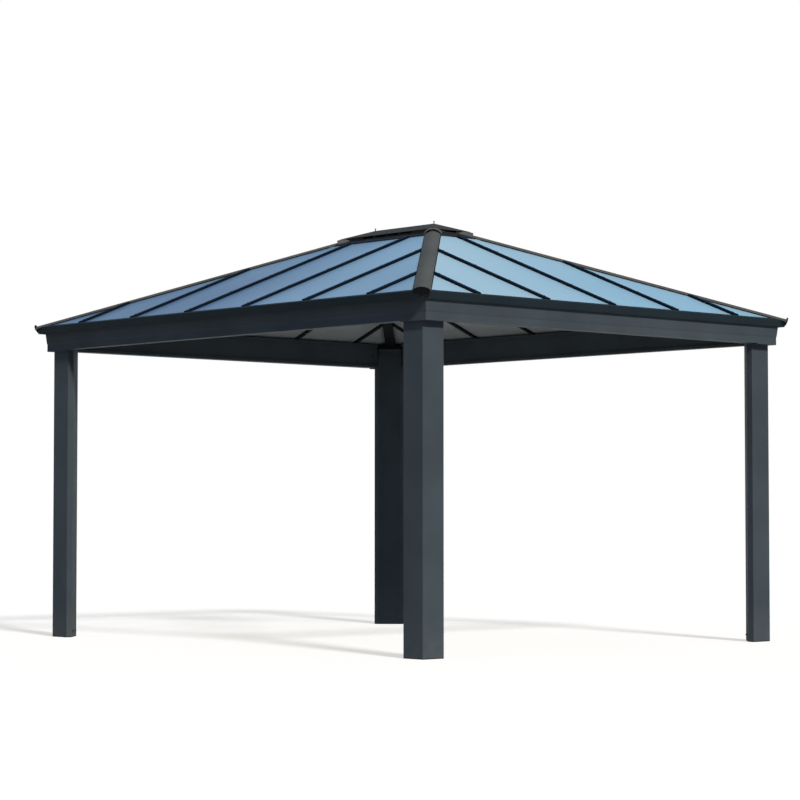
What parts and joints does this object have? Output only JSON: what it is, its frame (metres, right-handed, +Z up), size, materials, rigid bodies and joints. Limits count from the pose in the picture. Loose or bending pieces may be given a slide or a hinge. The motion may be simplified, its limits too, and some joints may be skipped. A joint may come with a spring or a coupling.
{
  "type": "gazebo",
  "caption": "Free-standing hard-top metal gazebo: corner posts, ring beams with a leaning cornice, and a hipped roof of clear panels between dark bars under a slotted vent crown.",
  "frame": {"origin": "centre of the footprint, on the ground", "axes": "+X along the long side, -Y out of the front long side, +Z up"},
  "size_m": [4.2768, 3.6458, 3.01],
  "materials": {
    "frame_paint": "satin anthracite powder coat",
    "trim_paint": "satin dark powder coat",
    "dark_paint": "satin near-black powder coat",
    "cover_paint": "satin grey powder coat",
    "roof_sheet": "clear grey polycarbonate sheet",
    "bracket_plastic": "moulded black",
    "crown_plastic": "moulded dark grey"
  },
  "bodies": {
    "root": {"front_left_post": "frame_paint", "front_right_post": "frame_paint", "back_right_post": "frame_paint", "back_left_post": "frame_paint", "front_left_hip_rafter": "dark_paint", "front_right_hip_rafter": "dark_paint", "back_right_hip_rafter": "dark_paint", "back_left_hip_rafter": "dark_paint", "front_left_hip_cover": "cover_paint", "front_right_hip_cover": "cover_paint", "back_right_hip_cover": "cover_paint", "back_left_hip_cover": "cover_paint", "front_beam": "frame_paint", "front_cornice": "frame_paint", "front_eave_trim": "trim_paint", "front_roof_panels": "roof_sheet", "front_rafters": "dark_paint", "front_bar_caps": "dark_paint", "right_beam": "frame_paint", "right_cornice": "frame_paint", "right_eave_trim": "trim_paint", "right_roof_panels": "roof_sheet", "right_rafters": "dark_paint", "right_bar_caps": "dark_paint", "back_beam": "frame_paint", "back_cornice": "frame_paint", "back_eave_trim": "trim_paint", "back_roof_panels": "roof_sheet", "back_rafters": "dark_paint", "back_bar_caps": "dark_paint", "left_beam": "frame_paint", "left_cornice": "frame_paint", "left_eave_trim": "trim_paint", "left_roof_panels": "roof_sheet", "left_rafters": "dark_paint", "left_bar_caps": "dark_paint", "foot_plates": "dark_paint", "corner_brackets": "bracket_plastic", "cornice_corners": "frame_paint", "hip_end_plugs": "bracket_plastic", "ridge_beam": "dark_paint", "crown_saddles": "crown_plastic", "crown_flashing": "trim_paint", "crown_vents": "crown_plastic", "crown_cap": "cover_paint"}
  },
  "joints": []
}
